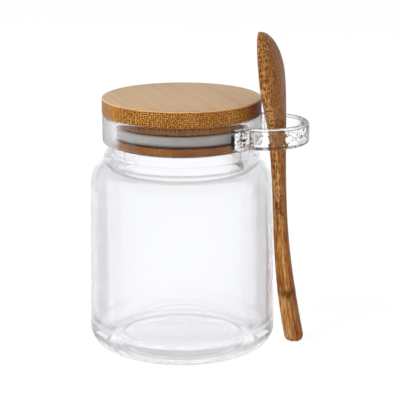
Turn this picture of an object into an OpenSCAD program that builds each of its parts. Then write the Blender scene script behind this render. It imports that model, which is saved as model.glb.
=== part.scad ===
// Glass jam pot: a jar with a spoon loop on its neck, a bamboo stopper lid with a seal, and a bamboo spoon.
// Millimetres, +Z up. The origin is on the jar's axis at its underside, and +X points at the spoon loop.

/* [Jar] */
// Outer diameter of the wall, where it rises from the heel
body_d = 85; // [70:1:110]
// Thickness of the wall
wall_t = 3.2; // [2:0.1:5]
// Thickness of the floor
floor_t = 6; // [3:0.5:10]
// Outer radius of the heel
heel_r = 9; // [4:0.5:14]
// Inner radius of the heel
inner_heel_r = 10; // [4:0.5:14]
// Height of the wall's top edge
wall_top_z = 75.5; // [50:0.5:120]
// How far the wall draws in between the heel and its top edge
wall_draft = 0.9; // [0:0.1:2]
// Height of the shoulder
shoulder_h = 10.5; // [6:0.5:20]
// Radius of the fillet between the mouth and the inner shoulder
throat_r = 2; // [1:0.5:4]

/* [Neck] */
// Inner diameter of the mouth
mouth_d = 60.6; // [50:0.2:66]
// Wall of the finish band, the thick ring at the top of the neck
finish_t = 5.5; // [4:0.1:8]
// Height of the finish band
finish_h = 13; // [10:0.5:18]
// Depth of the groove under the finish band
groove_depth = 2.7; // [1:0.1:3]
// Height of the groove
groove_h = 4.9; // [3:0.1:8]
// Radius of the bead's round edge
bead_r = 2; // [1:0.1:3]
// How far the bead stands out of the groove
bead_out = 2.3; // [1:0.1:4]
// Radius of the finish band's edges
finish_round = 1.4; // [0.5:0.1:2.5]

/* [Loop] */
// Outer radius of the loop, seen from above
loop_r = 20.4; // [18:0.2:26]
// Radial thickness of the strap
strap_t = 3.2; // [2.5:0.1:4]
// Height of the strap
strap_h = 9.6; // [6:0.1:11]
// Distance from the rim down to the strap's top edge
loop_drop = 2.4; // [1:0.1:3.5]
// How far the loop's centre lies inside the outermost wall beside the spoon
loop_inset = 5.1; // [3:0.1:7]
// Thickness of the pads where the strap's ends lie on the neck
pad_t = 3.4; // [2.5:0.1:4.5]
// Length of each pad beyond the strap, along the neck
pad_len = 8.5; // [6:0.5:14]

/* [Lid] */
// Thickness of each bamboo ply
ply_t = 7.3; // [6:0.1:9]
// How far the disc overhangs the finish band
lid_overhang = 0.2; // [0:0.1:2]
// Radius of the disc's edges
lid_round = 0.6; // [0.2:0.1:1.5]
// Gap between the plug and the mouth
plug_gap = 0.9; // [0.5:0.1:1.5]
// Chamfer on the plug's lower edge
plug_chamfer = 0.7; // [0.2:0.1:1.5]

/* [Seal] */
// Height of the seal
seal_h = 4.5; // [3:0.1:6]
// Depth of the groove that holds the seal
seal_groove_depth = 3; // [2:0.1:5]
// Radius of the seal's edges
seal_round = 1; // [0.4:0.1:1.5]

/* [Spoon] */
// Length of the spoon
spoon_len = 148.5; // [125:0.5:160]
// Length of the bowl, from where it starts to widen to its tip
bowl_len = 48.5; // [36:0.5:52]
// Length of the bowl's rounded end, from its widest section to its tip
bowl_end_len = 20.5; // [16:0.5:28]
// Width of the bowl
bowl_w = 25; // [18:0.5:28]
// Thickness of the bowl, from rim to back
bowl_t = 9.5; // [7:0.1:11]
// Depth of the hollow
hollow_depth = 5.2; // [2:0.1:5.5]
// Width of the rim around the hollow
rim_w = 2.2; // [1.5:0.1:4]
// How far the tip curls towards the jar
tip_curl = 3.1; // [0:0.1:6]
// How far the tip lies off the middle of the bowl's thickness, towards the face
tip_set = 4.1; // [0:0.1:5]
// Width of the handle's foot
foot_w = 9.3; // [7:0.1:11]
// Thickness of the handle's foot
foot_t = 8.6; // [7:0.1:10]
// Distance from the foot to the handle's thinnest section
waist_s = 74; // [55:1:85]
// Width of the handle at its thinnest section
waist_w = 7.9; // [6:0.1:9]
// Thickness of the handle at its thinnest section
waist_t = 6.2; // [5:0.1:8]
// How far the handle bends outwards at its foot
handle_kick = 5.1; // [0:0.1:6]
// Distance from the foot to where that bend ends
bend_s = 65; // [50:1:70]
// Radius of the foot's edges
foot_round = 2.2; // [1:0.1:3]
// How far outside the wall the handle's straight line meets the table
foot_out = 4.2; // [4:0.1:9]
// How far behind the loop's middle the foot stands
foot_back = 7.7; // [0:0.1:8]
// Turn of the bowl's face towards the jar's axis, in degrees
spoon_twist = 1; // [0:1:20]

/* [Fits] */
// Clearance between the seal and the mouth
seal_fit = 0.1; // [0.05:0.05:0.3]
// Clearance between the seal and its groove
groove_fit = 0.1; // [0.05:0.05:0.3]
// Clearance between the handle and the wall's top edge, along X
wall_gap = 0.4; // [0.1:0.05:1]
// Clearance between the spoon's front edge and the strap, beside the spoon's axis
strap_gap = 3.1; // [1.6:0.1:4]
// Radial clearance between the spoon and the lid's edge that the side wall allows for
side_room = 6.5; // [6:0.1:9]

/* [Hidden] */
$fn = 96;
ARC_STEPS = 8;
EDGE_STEPS = 4;
GLASS = [0.86, 0.9, 0.92, 0.4];
BAMBOO = [0.8, 0.66, 0.48];
BAMBOO_DARK = [0.66, 0.45, 0.24];
SILICONE = [0.82, 0.81, 0.79];

// Jar radii and heights, from the axis outwards and from the underside up
body_r = body_d / 2;
mouth_r = mouth_d / 2;
finish_r = mouth_r + finish_t;
groove_r = finish_r - groove_depth;
bead_outer_r = groove_r + bead_out;
shoulder_top_z = wall_top_z + shoulder_h;
groove_z = shoulder_top_z + 2 * bead_r;
finish_z = groove_z + groove_h;
rim_z = finish_z + finish_h;
inner_r = body_r - wall_t;
wall_top_r = body_r - wall_draft;
inner_top_r = wall_top_r - wall_t;
throat_z = shoulder_top_z - wall_t;

// Lid radii and heights
lid_r = finish_r + lid_overhang;
plug_r = mouth_r - plug_gap;
seam_z = rim_z - ply_t;
plug_bottom_z = rim_z - 2 * ply_t;
seal_groove_r = plug_r - seal_groove_depth;
seal_groove_h = seal_h + 2 * groove_fit;
seal_groove_z = seam_z - seal_groove_h / 2;

// Loop: its centre follows the outermost wall that the spoon has to stand clear of
side_r = max(body_r, lid_r + side_room);
loop_x = side_r - loop_inset;
loop_top_z = rim_z - loop_drop;
loop_mid_z = loop_top_z - strap_h / 2;
loop_mid_r = loop_r - strap_t / 2;
// Angle on the neck at which the middle of the strap meets it
root_x = (finish_r * finish_r - loop_mid_r * loop_mid_r + loop_x * loop_x) / (2 * loop_x);
root_angle = acos(root_x / finish_r);
pad_angle = root_angle + pad_len / finish_r * 180 / PI;

// Spoon: its straight line rises from the table past the wall's top edge and through the loop
bowl_start_s = spoon_len - bowl_len;
bowl_mid_s = spoon_len - bowl_end_len;
foot_point = [side_r + foot_out, foot_back, foot_round / 4];
wall_pass_x = side_r - wall_draft + spoon_half_t(wall_top_z) + wall_gap;
wall_share = (loop_mid_z - foot_point[2]) / (wall_top_z - foot_point[2]);
loop_pass_x = foot_point[0] + (wall_pass_x - foot_point[0]) * wall_share;
strap_chord = sqrt(pow(loop_r - strap_t, 2) - pow(loop_pass_x - loop_x, 2));
loop_pass_y = strap_gap + spoon_half_w(loop_top_z) - strap_chord;
pass_point = [loop_pass_x, loop_pass_y, loop_mid_z];
spoon_axis = (pass_point - foot_point) / norm(pass_point - foot_point);
spoon_lean = acos(spoon_axis[2]);
spoon_heading = atan2(spoon_axis[1], spoon_axis[0]);
SECTION_STEPS = 14;
HANDLE_RINGS = 22;
BOWL_RINGS = 30;
HANDLE_POWER = 2.6;
RIM_POWER = 7;

// Points along an elliptic arc with half axes a and b
function arc(x, y, a, b, from, to, steps) =
    [for (i = [0 : steps]) let (t = from + (to - from) * i / steps) [x + a * cos(t), y + b * sin(t)]];

// Outline of a rectangle from (x0, y0) to (x1, y1) with round corners
function round_box(x0, y0, x1, y1, r) = concat(
    arc(x1 - r, y0 + r, r, r, -90, 0, EDGE_STEPS),
    arc(x1 - r, y1 - r, r, r, 0, 90, EDGE_STEPS),
    arc(x0 + r, y1 - r, r, r, 90, 180, EDGE_STEPS),
    arc(x0 + r, y0 + r, r, r, 180, 270, EDGE_STEPS));

// Smooth step from a to b as s goes from s0 to s1
function ease(a, b, s0, s1, s) =
    let (t = max(0, min(1, (s - s0) / (s1 - s0)))) a + (b - a) * t * t * (3 - 2 * t);

module jar_outline() {
    outside = concat(
        [[0, 0]],
        arc(body_r - heel_r, heel_r, heel_r, heel_r, -90, 0, ARC_STEPS),
        arc(groove_r, wall_top_z, wall_top_r - groove_r, shoulder_h, 0, 75, ARC_STEPS),
        arc(bead_outer_r - bead_r, shoulder_top_z + bead_r, bead_r, bead_r, -70, 80, ARC_STEPS),
        [[groove_r, groove_z], [groove_r, finish_z]],
        arc(finish_r - finish_round, finish_z + finish_round, finish_round, finish_round, -90, 0, EDGE_STEPS),
        arc(finish_r - finish_round, rim_z - finish_round, finish_round, finish_round, 0, 90, EDGE_STEPS));
    inside = concat(
        arc(mouth_r + finish_round, rim_z - finish_round, finish_round, finish_round, 90, 180, EDGE_STEPS),
        arc(mouth_r + throat_r, throat_z + throat_r, throat_r, throat_r, 180, 270, EDGE_STEPS),
        arc(mouth_r + throat_r, wall_top_z, inner_top_r - mouth_r - throat_r, throat_z - wall_top_z,
            90, 0, ARC_STEPS),
        arc(inner_r - inner_heel_r, floor_t + inner_heel_r, inner_heel_r, inner_heel_r, 0, -90, ARC_STEPS),
        [[0, floor_t]]);
    polygon(concat(outside, inside));
}

module jar_body() {
    color(GLASS) rotate_extrude() jar_outline();
}

// Plan of a glass pad on the neck, from the strap's root to its own end, before the neck is taken out of it
module pad_plan() {
    far = 2 * (finish_r + pad_t);
    intersection() {
        circle(r = finish_r + pad_t);
        polygon([
            [0, 0],
            [far * cos(root_angle), far * sin(root_angle)],
            [far * cos(pad_angle), far * sin(pad_angle)]]);
    }
}

module loop_plan() {
    difference() {
        union() {
            translate([loop_x, 0]) circle(r = loop_r);
            pad_plan();
            mirror([0, 1]) pad_plan();
        }
        translate([loop_x, 0]) circle(r = loop_r - strap_t);
        circle(r = finish_r);
    }
}

module spoon_loop() {
    color(GLASS) translate([0, 0, loop_top_z - strap_h]) linear_extrude(height = strap_h) loop_plan();
}

module lid_top() {
    color(BAMBOO) rotate_extrude() polygon(concat(
        [[0, rim_z]],
        arc(lid_r - lid_round, rim_z + lid_round, lid_round, lid_round, -90, 0, EDGE_STEPS),
        arc(lid_r - lid_round, rim_z + ply_t - lid_round, lid_round, lid_round, 0, 90, EDGE_STEPS),
        [[0, rim_z + ply_t]]));
}

module seal_groove() {
    translate([0, 0, seal_groove_z]) difference() {
        cylinder(r = mouth_r, h = seal_groove_h);
        translate([0, 0, -seal_groove_h]) cylinder(r = seal_groove_r, h = 3 * seal_groove_h);
    }
}

module plug_upper() {
    color(BAMBOO_DARK) difference() {
        translate([0, 0, seam_z]) cylinder(r = plug_r, h = ply_t);
        seal_groove();
    }
}

module plug_lower() {
    color(BAMBOO_DARK) difference() {
        union() {
            translate([0, 0, plug_bottom_z + plug_chamfer]) cylinder(r = plug_r, h = ply_t - plug_chamfer);
            translate([0, 0, plug_bottom_z]) cylinder(r1 = plug_r - plug_chamfer, r2 = plug_r, h = plug_chamfer);
        }
        seal_groove();
    }
}

module seal_ring() {
    color(SILICONE) rotate_extrude() polygon(round_box(
        seal_groove_r + groove_fit, seal_groove_z + groove_fit,
        mouth_r - seal_fit, seal_groove_z + groove_fit + seal_h, seal_round));
}

// Spoon sections, by the distance s from the foot
function spoon_offset(s) = s < bend_s
    ? handle_kick * pow(1 - s / bend_s, 2)
    : -tip_curl * pow((s - bend_s) / (spoon_len - bend_s), 3);
// Share of the full section that is left in the rounded end of the bowl
function tip_share(s) = sqrt(max(0, 1 - pow(max(0, (s - bowl_mid_s) / bowl_end_len), 2)));
// Middle of a section's thickness: in the rounded end it moves towards the face, so the rim keeps its line
function spoon_middle(s) = spoon_offset(s) - tip_set * (1 - tip_share(s));
// How far the rounded edge of the foot draws a section in
function foot_inset(s) = foot_round - sqrt(max(0, pow(foot_round, 2) - pow(max(0, foot_round - s), 2)));
function spoon_half_t(s) = s < waist_s
    ? ease(foot_t, waist_t, foot_round, waist_s, s) / 2 - foot_inset(s)
    : ease(waist_t, bowl_t, waist_s, bowl_mid_s, s) / 2 * tip_share(s);
function spoon_half_w(s) = s < waist_s
    ? ease(foot_w, waist_w, foot_round, waist_s, s) / 2 - foot_inset(s)
    : ease(waist_w, bowl_w, bowl_start_s, bowl_mid_s, s) / 2 * tip_share(s);
function hollow_at(s) = hollow_depth * ease(0, 1, bowl_start_s, bowl_mid_s, s) * tip_share(s);
function face_power(s) = ease(HANDLE_POWER, RIM_POWER, bowl_start_s, bowl_mid_s, s);

// One closed section: across the face from one rim to the other, then back round the back
function super(t, power) = pow(max(0, 1 - pow(abs(t), power)), 1 / power);
function face_x(s, t) =
    let (a = spoon_half_t(s), b = spoon_half_w(s), inner = max(0.01, b - rim_w) / max(0.01, b))
    -a * super(t, face_power(s)) + hollow_at(s) * max(0, 1 - pow(t / inner, 2));
function spoon_section(s) =
    let (a = spoon_half_t(s), b = spoon_half_w(s), e = spoon_middle(s))
    concat(
        [for (i = [0 : SECTION_STEPS]) let (t = sin(-90 + 180 * i / SECTION_STEPS)) [e + face_x(s, t), b * t, s]],
        [for (i = [1 : SECTION_STEPS - 1]) let (t = sin(90 - 180 * i / SECTION_STEPS))
            [e + a * super(t, HANDLE_POWER), b * t, s]]);

module spoon() {
    foot_rings = [for (i = [0 : EDGE_STEPS]) foot_round * (1 - cos(90 * i / EDGE_STEPS))];
    handle_rings = [for (i = [1 : HANDLE_RINGS]) foot_round + (bowl_start_s - foot_round) * i / HANDLE_RINGS];
    bowl_rings = [for (i = [1 : BOWL_RINGS - 1]) bowl_start_s + bowl_len * sin(90 * i / BOWL_RINGS)];
    stations = concat(foot_rings, handle_rings, bowl_rings);
    rings = len(stations);
    sides = 2 * SECTION_STEPS;
    points = concat([for (s = stations) each spoon_section(s)], [[spoon_middle(spoon_len), 0, spoon_len]]);
    skin = [for (k = [0 : rings - 2], i = [0 : sides - 1])
        let (j = (i + 1) % sides, low = k * sides, high = low + sides)
        each [[low + i, high + i, high + j], [low + i, high + j, low + j]]];
    foot_cap = [[for (i = [0 : sides - 1]) i]];
    tip_cap = [for (i = [0 : sides - 1])
        [(rings - 1) * sides + i, rings * sides, (rings - 1) * sides + (i + 1) % sides]];
    color(BAMBOO_DARK)
        translate(foot_point)
            rotate([0, 0, spoon_heading]) rotate([0, spoon_lean, 0]) rotate([0, 0, -spoon_heading - spoon_twist])
                polyhedron(points, concat(skin, foot_cap, tip_cap));
}

jar_body();
spoon_loop();
lid_top();
plug_upper();
plug_lower();
seal_ring();
spoon();
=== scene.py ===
import math

import bmesh
import bpy
from mathutils import Matrix, Vector


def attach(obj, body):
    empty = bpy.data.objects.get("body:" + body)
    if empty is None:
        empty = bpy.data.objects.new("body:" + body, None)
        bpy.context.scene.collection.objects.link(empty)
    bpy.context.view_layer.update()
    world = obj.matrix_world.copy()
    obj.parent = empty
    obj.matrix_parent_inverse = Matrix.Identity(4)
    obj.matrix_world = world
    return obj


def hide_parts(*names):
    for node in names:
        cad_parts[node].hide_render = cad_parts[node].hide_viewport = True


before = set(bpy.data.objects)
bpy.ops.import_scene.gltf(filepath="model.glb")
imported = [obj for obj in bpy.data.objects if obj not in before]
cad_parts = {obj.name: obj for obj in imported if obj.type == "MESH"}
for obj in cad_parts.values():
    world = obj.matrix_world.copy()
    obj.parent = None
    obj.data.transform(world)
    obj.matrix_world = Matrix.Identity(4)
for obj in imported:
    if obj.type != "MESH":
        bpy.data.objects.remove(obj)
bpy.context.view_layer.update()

MM = 0.001

# A length in millimetres that is too small to see
TINY = 0.01

# Facets in a full turn, and the angle in degrees from which an edge is shaded sharp
TURN = 192
SHARP_ANGLE = 40
JAR_SHARP_ANGLE = 35
SPOON_SHARP_ANGLE = 55

# Jar, in millimetres, with the sizes of the solids
BODY_R = 42.5
WALL_T = 3.2
FLOOR_T = 6
PANEL_R = 28
PANEL_H = 0.9
PANEL_IN = 1
PANEL_OUT = 0.6
HEEL_R = 9
INNER_HEEL_R = 10
WALL_TOP_Z = 75.5
WALL_DRAFT = 0.9
SHOULDER_H = 10.5
THROAT_R = 2
MOUTH_R = 30.3
FINISH_R = 35.8
GROOVE_R = 33.1
GROOVE_H = 4.9
FINISH_H = 13
FINISH_ROUND = 1.4
BEAD_R = 2
BEAD_OUTER_R = 35.4
JAR_ROUND = 0.8
SHOULDER_TOP_Z = WALL_TOP_Z + SHOULDER_H
GROOVE_Z = SHOULDER_TOP_Z + 2 * BEAD_R
FINISH_Z = GROOVE_Z + GROOVE_H
RIM_Z = FINISH_Z + FINISH_H
INNER_R = BODY_R - WALL_T
WALL_TOP_R = BODY_R - WALL_DRAFT
INNER_TOP_R = WALL_TOP_R - WALL_T
THROAT_Z = SHOULDER_TOP_Z - WALL_T

# Loop: a strap and its two pads, which end round and have a pressed dimple
LOOP_R = 20.4
STRAP_T = 3.2
STRAP_H = 9.6
STRAP_ROUND = 1.4
STRAP_ROOT_R = 33.6
STRAP_STEPS = 96
LOOP_X = 37.4
LOOP_DROP = 2.4
LOOP_TOP_Z = RIM_Z - LOOP_DROP
LOOP_MID_Z = LOOP_TOP_Z - STRAP_H / 2
LOOP_MID_R = LOOP_R - STRAP_T / 2
ROOT_ANGLE = math.acos((FINISH_R ** 2 - LOOP_MID_R ** 2 + LOOP_X ** 2) / (2 * LOOP_X * FINISH_R))
PAD_T = 3.4
PAD_LEN = 8.5
PAD_OVERLAP = 3
PAD_ROOT_R = 33.4
PAD_ROUND = 0.9
PAD_END_LEN = 3.2
PAD_END_POWER = 3.2
PAD_END_SINK = 0.6
PAD_END_H = 0.25
PAD_LEAST_SHARE = 0.02
PAD_ROUND_SHARE = 0.8
PAD_STEPS = 28
PAD_END_STEPS = 14
PAD_FACE_STEPS = 24
PAD_FIRST_ANGLE = ROOT_ANGLE - PAD_OVERLAP / FINISH_R
PAD_LAST_ANGLE = ROOT_ANGLE + PAD_LEN / FINISH_R
DIMPLE_FROM_END = 4.6
DIMPLE_R = 2.4
DIMPLE_DEPTH = 1.5
DIMPLE_LOBES = 4
LOBE_MEAN = 0.65
LOBE_SWING = 0.35
CORNER_STEPS = 6

# Lid and seal
PLY_T = 7.3
LID_R = 36
LID_ROUND = 0.6
PLUG_R = 29.4
PLUG_CHAMFER = 0.7
PLUG_ROUND = 0.15
SEAM_Z = RIM_Z - PLY_T
PLUG_BOTTOM_Z = RIM_Z - 2 * PLY_T
SEAL_GROOVE_R = 26.4
SEAL_H = 4.5
SEAL_ROUND = 1.75
SEAL_FIT = 0.1

# Spoon, with places along it as distances from the foot
SPOON_LEN = 148.5
BOWL_LEN = 48.5
BOWL_END_LEN = 20.5
BOWL_W = 25
BOWL_T = 9.5
BOWL_POWER = 7
HOLLOW_DEPTH = 5.2
RIM_W = 2.2
TIP_CURL = 3.1
TIP_SET = 4.1
FOOT_W = 9.3
FOOT_T = 8.6
WAIST_S = 74
WAIST_W = 7.9
WAIST_T = 6.2
HANDLE_POWER = 2.6
HANDLE_KICK = 5.1
BEND_S = 65
FOOT_ROUND = 2.2
FOOT_OUT = 4.2
FOOT_BACK = 7.7
WALL_GAP = 0.4
STRAP_GAP = 3.1
SPOON_TWIST = 1
NODE_S = 25
NODE_SWELL = 0.1
NODE_LEN = 1.5
NOTCH_LEN = 5
NOTCH_COUNT = 9
NOTCH_SHARE = 0.16
FOOT_STEPS = 8
HANDLE_STEPS = 120
BOWL_STEPS = 64
SECTION_STEPS = 32
BOWL_START_S = SPOON_LEN - BOWL_LEN
BOWL_MID_S = SPOON_LEN - BOWL_END_LEN


# Mesh helpers

def arc(x, z, a, b, start, end, steps):
    """Points along an elliptic arc with half axes a and b, angles in degrees."""
    points = []
    for i in range(steps + 1):
        t = math.radians(start + (end - start) * i / steps)
        points.append((x + a * math.cos(t), z + b * math.sin(t)))
    return points


def soften(points, radius, least_turn=18, steps=4, most_cut=0.45):
    """The same outline with its sharp corners rounded, each by at most a share of its two sides."""
    result = [points[0]]
    for before, corner, after in zip(points, points[1:], points[2:]):
        back = Vector(before) - Vector(corner)
        ahead = Vector(after) - Vector(corner)
        turn = 180 - math.degrees(back.angle(ahead, math.pi))
        if turn < least_turn:
            result.append(corner)
            continue
        cut = min(radius * math.tan(math.radians(turn / 2)), most_cut * back.length, most_cut * ahead.length)
        first = Vector(corner) + back.normalized() * cut
        last = Vector(corner) + ahead.normalized() * cut
        for i in range(steps + 1):
            t = i / steps
            bend = first * (1 - t) ** 2 + Vector(corner) * 2 * t * (1 - t) + last * t ** 2
            result.append(tuple(bend))
    result.append(points[-1])
    return result


def shade(obj, sharp_angle):
    """Smooth shading, with edges that turn more than the angle left sharp."""
    mesh = obj.data
    bm = bmesh.new()
    bm.from_mesh(mesh)
    for face in bm.faces:
        face.smooth = True
    for edge in bm.edges:
        edge.smooth = edge.calc_face_angle(0) < math.radians(sharp_angle)
    bm.to_mesh(mesh)
    bm.free()


def make_object(name, vertices, faces, sharp_angle=SHARP_ANGLE):
    mesh = bpy.data.meshes.new(name)
    mesh.from_pydata([tuple(c * MM for c in v) for v in vertices], [], faces)
    mesh.validate()
    bm = bmesh.new()
    bm.from_mesh(mesh)
    bmesh.ops.recalc_face_normals(bm, faces=bm.faces)
    bm.to_mesh(mesh)
    bm.free()
    obj = bpy.data.objects.new(name, mesh)
    bpy.context.scene.collection.objects.link(obj)
    shade(obj, sharp_angle)
    return obj


def lathe(name, outline, closed=False):
    """Solid of revolution about Z. The outline runs from axis to axis, or is a closed loop away from it."""
    vertices = []
    rings = []
    for r, z in outline:
        if r == 0:
            rings.append([len(vertices)] * TURN)
            vertices.append((0, 0, z))
            continue
        rings.append(list(range(len(vertices), len(vertices) + TURN)))
        for i in range(TURN):
            angle = 2 * math.pi * i / TURN
            vertices.append((r * math.cos(angle), r * math.sin(angle), z))
    pairs = list(zip(rings, rings[1:]))
    if closed:
        pairs.append((rings[-1], rings[0]))
    faces = []
    for low, high in pairs:
        for i in range(TURN):
            j = (i + 1) % TURN
            corners = [low[i], low[j], high[j], high[i]]
            faces.append(list(dict.fromkeys(corners)))
    return make_object(name, vertices, faces)


def skin(name, sections, sharp_angle=SHARP_ANGLE):
    """Closed skin over sections with the same number of points, capped at both ends."""
    sides = len(sections[0])
    vertices = [p for section in sections for p in section]
    faces = []
    for k in range(len(sections) - 1):
        for i in range(sides):
            j = (i + 1) % sides
            faces.append([k * sides + i, k * sides + j, (k + 1) * sides + j, (k + 1) * sides + i])
    for start, section in ((0, sections[0]), ((len(sections) - 1) * sides, sections[-1])):
        middle = len(vertices)
        vertices.append(tuple(sum(axis) / sides for axis in zip(*section)))
        for i in range(sides):
            faces.append([start + i, start + (i + 1) % sides, middle])
    return make_object(name, vertices, faces, sharp_angle)


def join_solids(base, others):
    """One closed mesh from overlapping solids."""
    for other in others:
        union = base.modifiers.new("union", "BOOLEAN")
        union.operation = "UNION"
        union.solver = "EXACT"
        union.object = other
    bpy.context.view_layer.update()
    graph = bpy.context.evaluated_depsgraph_get()
    mesh = bpy.data.meshes.new_from_object(base.evaluated_get(graph))
    base.modifiers.clear()
    base.data = mesh
    for other in others:
        bpy.data.objects.remove(other)
    return base


# Material helpers

def variant(look, **changes):
    """The same look with some values changed."""
    return {**look, **changes}


def new_material(name):
    material = bpy.data.materials.new(name)
    material.use_nodes = True
    material.node_tree.nodes.clear()
    return material, material.node_tree


def add(tree, kind, settings=None, inputs=None):
    """A node with its settings, and its inputs linked or set."""
    node = tree.nodes.new(kind)
    for key, value in (settings or {}).items():
        setattr(node, key, value)
    for key, value in (inputs or {}).items():
        if isinstance(value, bpy.types.NodeSocket):
            tree.links.new(value, node.inputs[key])
        else:
            node.inputs[key].default_value = value
    return node


def math_node(tree, operation, a, b=0.0):
    return add(tree, "ShaderNodeMath", {"operation": operation}, {0: a, 1: b}).outputs[0]


def times(tree, a, b):
    return math_node(tree, "MULTIPLY", a, b)


def dot_node(tree, vector, axis):
    node = add(tree, "ShaderNodeVectorMath", {"operation": "DOT_PRODUCT"}, {0: vector, 1: axis})
    return node.outputs["Value"]


def vector_node(tree, x, y, z):
    return add(tree, "ShaderNodeCombineXYZ", None, {0: x, 1: y, 2: z}).outputs[0]


def z_node(tree, vector):
    return add(tree, "ShaderNodeSeparateXYZ", None, {0: vector}).outputs["Z"]


def noise_node(tree, place, scale, detail, roughness=0.5):
    inputs = {"Vector": place, "Scale": scale, "Detail": detail, "Roughness": roughness}
    return add(tree, "ShaderNodeTexNoise", None, inputs).outputs["Fac"]


def ramp_node(tree, value, low, high, to_low=0.0, to_high=1.0):
    settings = {"interpolation_type": "SMOOTHSTEP"}
    inputs = {"Value": value, "From Min": low, "From Max": high, "To Min": to_low, "To Max": to_high}
    return add(tree, "ShaderNodeMapRange", settings, inputs).outputs["Result"]


def band_node(tree, value, start, full, fade, end):
    """One between full and fade, and zero outside start and end."""
    rise = ramp_node(tree, value, start, full)
    return times(tree, rise, ramp_node(tree, value, fade, end, 1.0, 0.0))


def mix_node(tree, factor, a, b, blend="MIX"):
    node = add(tree, "ShaderNodeMix", {"data_type": "RGBA", "blend_type": blend}, {0: factor, 6: a, 7: b})
    return node.outputs[2]


def bump_node(tree, strength, depth, height):
    inputs = {"Strength": strength, "Distance": depth, "Height": height}
    return add(tree, "ShaderNodeBump", None, inputs).outputs[0]


def shader_mix(tree, factor, a, b):
    return add(tree, "ShaderNodeMixShader", None, {0: factor, 1: a.outputs[0], 2: b.outputs[0]})


def seen_node(tree, path):
    """One for what is seen, directly, mirrored or through glass, and zero for what only gives light."""
    seen = math_node(tree, "MAXIMUM", path.outputs["Is Camera Ray"], path.outputs["Is Glossy Ray"])
    return math_node(tree, "MAXIMUM", seen, path.outputs["Is Transmission Ray"])


# The part of a noise in which most of it lies
GRAIN_RANGE = (0.3, 0.7)

# Bamboo: streaks are drawn out further than the bundles, and broad patches lie under both
STREAK_STRETCH = 0.4
STREAKS_PER_PITCH = 0.9
PATCH_SCALE = 140
PATCH_RANGE = (0.32, 0.68)
UPRIGHT_RANGE = (0.2, 0.6)
# Slopes of rounded edges that take the look's painted edge: painted highlight on the lid, painted shade on
# the plug
ARRIS_BAND = (0.2, 0.5, 0.8, 0.97)
GRAIN_BUMP = 0.3
GRAIN_DEPTH = 0.00012
DOT_DEPTH = 0.5
GRAIN_SMOOTHER = 0.06
GRAIN_ROUGHER = 0.08


def bamboo(name, fibre, across, up, look, marks=None):
    """Bamboo whose vascular bundles run along the fibre axis: dots where they are cut across, streaks beside.

    The skin and shade side is darker: the culm's dense skin on the spoon, painted shade and dark grain on the
    lid. Its axis, start and end are in the look.
    The rim is the colour of upright faces, and the painted edge that of edges which are rounded over: a
    painted highlight on the lid's top edge and painted shade on the plug's chamfers.
    Marks is a function that adds what only this piece shows.
    """
    material, tree = new_material(name)
    coords = add(tree, "ShaderNodeTexCoord")
    point = coords.outputs["Object"]
    normal = coords.outputs["Normal"]
    u = dot_node(tree, point, across)
    v = dot_node(tree, point, up)
    w = dot_node(tree, point, fibre)
    bundle_place = vector_node(tree, u, v, times(tree, w, look["stretch"]))
    streak_place = vector_node(tree, u, v, times(tree, w, look["stretch"] * STREAK_STRETCH))
    bundles = add(tree, "ShaderNodeTexVoronoi", {"voronoi_dimensions": look["bundles"]},
                  {"Vector": bundle_place, "Scale": 1 / look["pitch"], "Randomness": look["scatter"]})
    dots = ramp_node(tree, bundles.outputs["Distance"], look["dot_in"], look["dot_out"], 1, 0)
    grain = noise_node(tree, streak_place, STREAKS_PER_PITCH / look["pitch"], 4, 0.6)
    patch = ramp_node(tree, noise_node(tree, streak_place, PATCH_SCALE, 2), *PATCH_RANGE)
    ends = math_node(tree, "ABSOLUTE", dot_node(tree, normal, fibre))
    level = z_node(tree, normal)
    slope = math_node(tree, "ABSOLUTE", level)
    skin_place = dot_node(tree, point, look["skin_axis"])
    skin_side = ramp_node(tree, skin_place, look["skin_start"], look["skin_end"], 0.0, look["skin_share"])

    streak = ramp_node(tree, grain, look["streak_low"], look["streak_high"])
    side_colour = mix_node(tree, streak, look["pale"], look["deep"])
    side_colour = mix_node(tree, times(tree, patch, look["patchy"]), side_colour, look["warm"])
    upright = ramp_node(tree, slope, *UPRIGHT_RANGE, look["rim_share"], 0.0)
    side_colour = mix_node(tree, upright, side_colour, look["rim"])
    side_colour = mix_node(tree, times(tree, skin_side, look["skin_beside"]), side_colour, look["skin"])
    end_colour = mix_node(tree, patch, look["end_light"], look["end_dark"])
    end_colour = mix_node(tree, skin_side, end_colour, look["skin"])
    cut = ramp_node(tree, ends, look["cut_low"], look["cut_high"])
    ground = mix_node(tree, cut, side_colour, end_colour)

    dots_place = dot_node(tree, point, look["dots_axis"])
    dotted = ramp_node(tree, dots_place, look["dots_start"], look["dots_end"], look["dots_least"], 1.0)
    dotted = times(tree, dotted, ramp_node(tree, skin_side, 0.0, 1.0, 1.0, look["skin_dots"]))
    strength = ramp_node(tree, ends, 0.0, look["dots_full"], look["side_dots"], look["end_dots"])
    dots = times(tree, times(tree, dots, dotted), strength)
    colour = mix_node(tree, dots, ground, look["dot"])
    # Painted edge: painted light on rounded edges, a highlight on the lid and shade in the plug's gaps
    arris = band_node(tree, slope if look["arris_below"] else level, *ARRIS_BAND)
    colour = mix_node(tree, times(tree, arris, look["arris_share"]), colour, look["arris"])
    if marks:
        colour = marks(tree, colour, grain)

    height = math_node(tree, "SUBTRACT", grain, times(tree, dots, DOT_DEPTH))
    smooth = look["rough"] - GRAIN_SMOOTHER
    rough = look["rough"] + GRAIN_ROUGHER
    surface = add(tree, "ShaderNodeBsdfPrincipled", None, {
        "Base Color": colour,
        "Roughness": ramp_node(tree, grain, *GRAIN_RANGE, smooth, rough),
        "Normal": bump_node(tree, GRAIN_BUMP, GRAIN_DEPTH, height),
        "Specular IOR Level": look["gloss"],
    })
    add(tree, "ShaderNodeOutputMaterial", None, {"Surface": surface.outputs[0]})
    return material
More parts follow.
